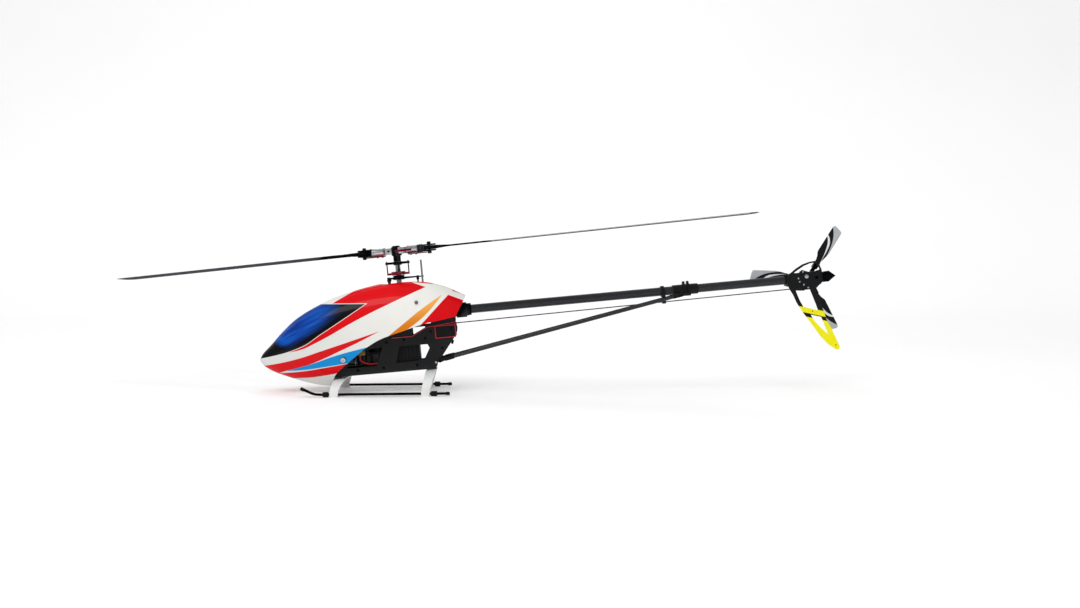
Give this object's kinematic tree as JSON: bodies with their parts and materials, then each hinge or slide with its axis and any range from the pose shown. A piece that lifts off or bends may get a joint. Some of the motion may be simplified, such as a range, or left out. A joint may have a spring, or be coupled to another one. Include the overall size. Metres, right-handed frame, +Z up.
{
  "type": "remote control helicopter",
  "caption": "Electric model helicopter with a two-blade rotor, painted canopy over a carbon frame, braced tail boom, three-blade tail rotor, lower fin and skid landing gear.",
  "frame": {"origin": "on the ground, under the middle of the model's length and width", "axes": "+X aft along the model towards the tail rotor, +Y to starboard, +Z up"},
  "size_m": [1.8643, 0.7566, 0.4023],
  "materials": {
    "carbon": "woven carbon plate, satin",
    "black_metal": "black anodised aluminium",
    "silver_metal": "machined silver aluminium",
    "steel": "ground steel",
    "black_plastic": "moulded black nylon",
    "white_plastic": "moulded white plastic",
    "red_metal": "red anodised aluminium",
    "canopy_paint": "painted and lacquered glass fibre shell",
    "blade_paint": "lacquered carbon blade",
    "fin_paint": "lacquered carbon plate, black and yellow",
    "tail_blade_paint": "lacquered carbon blade, black with pale stripes",
    "battery_wrap": "shrink-wrapped battery cells"
  },
  "bodies": {
    "frame": {"lower_frame_left": "carbon", "lower_frame_right": "carbon", "upper_frame_left": "carbon", "upper_frame_right": "carbon", "bottom_plate": "carbon", "battery_tray": "carbon", "upper_bearing_block": "black_metal", "lower_bearing_block": "black_metal", "motor_mount": "black_metal", "boom_block": "black_metal", "speed_controller": "black_metal", "power_leads": "black_plastic", "flight_controller": "black_plastic", "cyclic_servo_left": "black_plastic", "cyclic_servo_right": "black_plastic", "cyclic_servo_rear": "black_plastic", "tail_servo": "black_plastic", "anti_rotation_guide": "steel", "tail_boom": "carbon", "brace_clamp": "black_plastic", "boom_brace_left": "carbon", "boom_brace_right": "carbon", "pushrod_guide": "black_plastic", "tail_gear_case": "black_metal", "tail_fin": "fin_paint", "skid_left": "black_plastic", "skid_right": "black_plastic", "front_strut": "white_plastic", "rear_strut": "white_plastic"},
    "rotor": {"main_shaft": "steel", "main_gear": "white_plastic", "rotor_hub": "silver_metal", "swash_driver": "black_metal"},
    "motor": {"motor_rotor": "black_metal"},
    "tail_drive": {"tail_drive_shaft": "steel"},
    "drive_tube": {"torque_tube": "steel"},
    "tail_rotor": {"tail_hub": "black_metal"},
    "swash": {"swash_inner": "black_metal"},
    "swash_ring": {"swash_outer": "red_metal", "pitch_link_a": "black_plastic", "pitch_link_b": "black_plastic"},
    "grip_a": {"blade_grip_a": "silver_metal"},
    "grip_b": {"blade_grip_b": "silver_metal"},
    "blade_a": {"main_blade_a": "blade_paint"},
    "blade_b": {"main_blade_b": "blade_paint"},
    "arm_left": {"servo_arm_left": "black_plastic"},
    "arm_right": {"servo_arm_right": "black_plastic"},
    "arm_rear": {"servo_arm_rear": "black_plastic"},
    "pushrod": {"tail_pushrod": "carbon"},
    "tail_arm": {"tail_servo_arm": "black_plastic"},
    "bell_crank": {"tail_bell_crank": "black_plastic"},
    "slider": {"tail_slider": "black_plastic"},
    "tail_grip_a": {"tail_grip_1": "black_metal"},
    "tail_grip_b": {"tail_grip_2": "black_metal"},
    "tail_grip_c": {"tail_grip_3": "black_metal"},
    "tail_blade_a": {"tail_blade_1": "tail_blade_paint"},
    "tail_blade_b": {"tail_blade_2": "tail_blade_paint"},
    "tail_blade_c": {"tail_blade_3": "tail_blade_paint"},
    "canopy": {"canopy": "canopy_paint"},
    "battery": {"battery": "battery_wrap"}
  },
  "joints": [
    {"name": "main_rotor_spin", "type": "hinge", "parent": "frame", "child": "rotor", "pos_m": [-0.1507, 0, 0.1807], "axis": [-0.0875, 0, 0.9962], "continuous": true},
    {"name": "motor_spin", "type": "hinge", "parent": "frame", "child": "motor", "pos_m": [-0.21246, 0, 0.17527], "axis": [-0.0875, 0, 0.9962], "continuous": true},
    {"name": "tail_drive_spin", "type": "hinge", "parent": "frame", "child": "tail_drive", "pos_m": [-0.08246, 0, 0.18669], "axis": [-0.0875, 0, 0.9962], "continuous": true},
    {"name": "drive_tube_spin", "type": "hinge", "parent": "frame", "child": "drive_tube", "pos_m": [0.34738, 0, 0.22445], "axis": [0.9962, 0, 0.0875], "continuous": true},
    {"name": "tail_rotor_spin", "type": "hinge", "parent": "frame", "child": "tail_rotor", "pos_m": [0.84546, 0, 0.2682], "axis": [0, 1, 0], "continuous": true},
    {"name": "swash_slide", "type": "slide", "parent": "frame", "child": "swash", "axis": [-0.0875, 0, 0.9962], "range_m": [-0.0041, 0.0078]},
    {"name": "swash_ring_spin", "type": "hinge", "parent": "swash", "child": "swash_ring", "pos_m": [-0.15945, 0, 0.28032], "axis": [-0.0875, 0, 0.9962], "continuous": true},
    {"name": "servo_arm_left_turn", "type": "hinge", "parent": "frame", "child": "arm_left", "pos_m": [-0.1992, 0, 0.2186], "axis": [0, 1, 0], "range_deg": [-20.51, 10.88]},
    {"name": "servo_arm_right_turn", "type": "hinge", "parent": "frame", "child": "arm_right", "pos_m": [-0.19719, 0, 0.19569], "axis": [0, 1, 0], "range_deg": [-20.51, 10.88]},
    {"name": "servo_arm_rear_turn", "type": "hinge", "parent": "frame", "child": "arm_rear", "pos_m": [-0.0884, 0, 0.21428], "axis": [0, 1, 0], "range_deg": [-10.88, 20.51]},
    {"name": "grip_a_feather", "type": "hinge", "parent": "rotor", "child": "grip_a", "pos_m": [-0.16404, 0, 0.33261], "axis": [0.8961, -0.4368, 0.0787], "range_deg": [-15.1, 8.03]},
    {"name": "blade_a_fold", "type": "hinge", "parent": "grip_a", "child": "blade_a", "pos_m": [-0.08519, -0.03844, 0.33954], "axis": [-0.1139, -0.0549, 0.992], "range_deg": [-90, 90]},
    {"name": "grip_b_feather", "type": "hinge", "parent": "rotor", "child": "grip_b", "pos_m": [-0.16404, 0, 0.33261], "axis": [-0.8961, 0.4368, -0.0787], "range_deg": [-15.1, 8.03]},
    {"name": "blade_b_fold", "type": "hinge", "parent": "grip_b", "child": "blade_b", "pos_m": [-0.2429, 0.03844, 0.32569], "axis": [-0.0608, 0.0549, 0.9966], "range_deg": [-90, 90]},
    {"name": "tail_pushrod_slide", "type": "slide", "parent": "frame", "child": "pushrod", "axis": [0.9954, 0, 0.0961], "range_m": [-0.004, 0.004]},
    {"name": "tail_servo_arm_turn", "type": "hinge", "parent": "frame", "child": "tail_arm", "pos_m": [-0.04702, 0, 0.14313], "axis": [0, 1, 0], "range_deg": [-13.68, 13.68]},
    {"name": "bell_crank_turn", "type": "hinge", "parent": "frame", "child": "bell_crank", "pos_m": [0.81252, 0.024, 0.24322], "axis": [-0.0875, 0, 0.9962], "range_deg": [-6.57, 6.57]},
    {"name": "tail_slider_slide", "type": "slide", "parent": "tail_rotor", "child": "slider", "axis": [0, 1, 0], "range_m": [-0.00395, 0.00395]},
    {"name": "tail_grip_a_feather", "type": "hinge", "parent": "tail_rotor", "child": "tail_grip_a", "pos_m": [0.84546, 0.044, 0.2682], "axis": [0.5399, 0, 0.8417], "range_deg": [-17.34, 17.34]},
    {"name": "tail_blade_a_pivot", "type": "hinge", "parent": "tail_grip_a", "child": "tail_blade_a", "pos_m": [0.86706, 0.044, 0.30187], "axis": [0, 1, 0], "range_deg": [-30, 30]},
    {"name": "tail_grip_b_feather", "type": "hinge", "parent": "tail_rotor", "child": "tail_grip_b", "pos_m": [0.84546, 0.044, 0.2682], "axis": [-0.9989, 0, 0.0468], "range_deg": [-17.34, 17.34]},
    {"name": "tail_blade_b_pivot", "type": "hinge", "parent": "tail_grip_b", "child": "tail_blade_b", "pos_m": [0.80551, 0.044, 0.27007], "axis": [0, 1, 0], "range_deg": [-30, 30]},
    {"name": "tail_grip_c_feather", "type": "hinge", "parent": "tail_rotor", "child": "tail_grip_c", "pos_m": [0.84546, 0.044, 0.2682], "axis": [0.459, 0, -0.8885], "range_deg": [-17.34, 17.34]},
    {"name": "tail_blade_c_pivot", "type": "hinge", "parent": "tail_grip_c", "child": "tail_blade_c", "pos_m": [0.86382, 0.044, 0.23267], "axis": [0, 1, 0], "range_deg": [-30, 30]},
    {"name": "canopy_slide", "type": "slide", "parent": "frame", "child": "canopy", "axis": [-0.9976, 0, 0.0694], "range_m": [0, 0.32]},
    {"name": "battery_slide", "type": "slide", "parent": "frame", "child": "battery", "axis": [-0.9962, 0, -0.0875], "range_m": [0, 0.16]}
  ],
  "couplings": [
    {"joint": "motor_spin", "follows": "main_rotor_spin", "ratio": -9.3333},
    {"joint": "tail_drive_spin", "follows": "main_rotor_spin", "ratio": -4.48},
    {"joint": "drive_tube_spin", "follows": "main_rotor_spin", "ratio": 4.48},
    {"joint": "tail_rotor_spin", "follows": "main_rotor_spin", "ratio": 4.48},
    {"joint": "swash_ring_spin", "follows": "main_rotor_spin", "ratio": 1},
    {"joint": "servo_arm_left_turn", "follows": "swash_slide", "rad_per_m": -45.455},
    {"joint": "servo_arm_right_turn", "follows": "swash_slide", "rad_per_m": -45.455},
    {"joint": "servo_arm_rear_turn", "follows": "swash_slide", "rad_per_m": 45.455},
    {"joint": "grip_a_feather", "follows": "swash_slide", "rad_per_m": -33.333},
    {"joint": "grip_b_feather", "follows": "swash_slide", "rad_per_m": -33.333},
    {"joint": "tail_servo_arm_turn", "follows": "tail_pushrod_slide", "rad_per_m": 58.824},
    {"joint": "bell_crank_turn", "follows": "tail_pushrod_slide", "rad_per_m": 27.778},
    {"joint": "tail_slider_slide", "follows": "tail_pushrod_slide", "ratio": 0.97222},
    {"joint": "tail_grip_a_feather", "follows": "tail_pushrod_slide", "rad_per_m": 74.786},
    {"joint": "tail_grip_b_feather", "follows": "tail_pushrod_slide", "rad_per_m": 74.786},
    {"joint": "tail_grip_c_feather", "follows": "tail_pushrod_slide", "rad_per_m": 74.786},
    {"joint": "battery_slide", "follows": "canopy_slide", "ratio": 0.5}
  ]
}
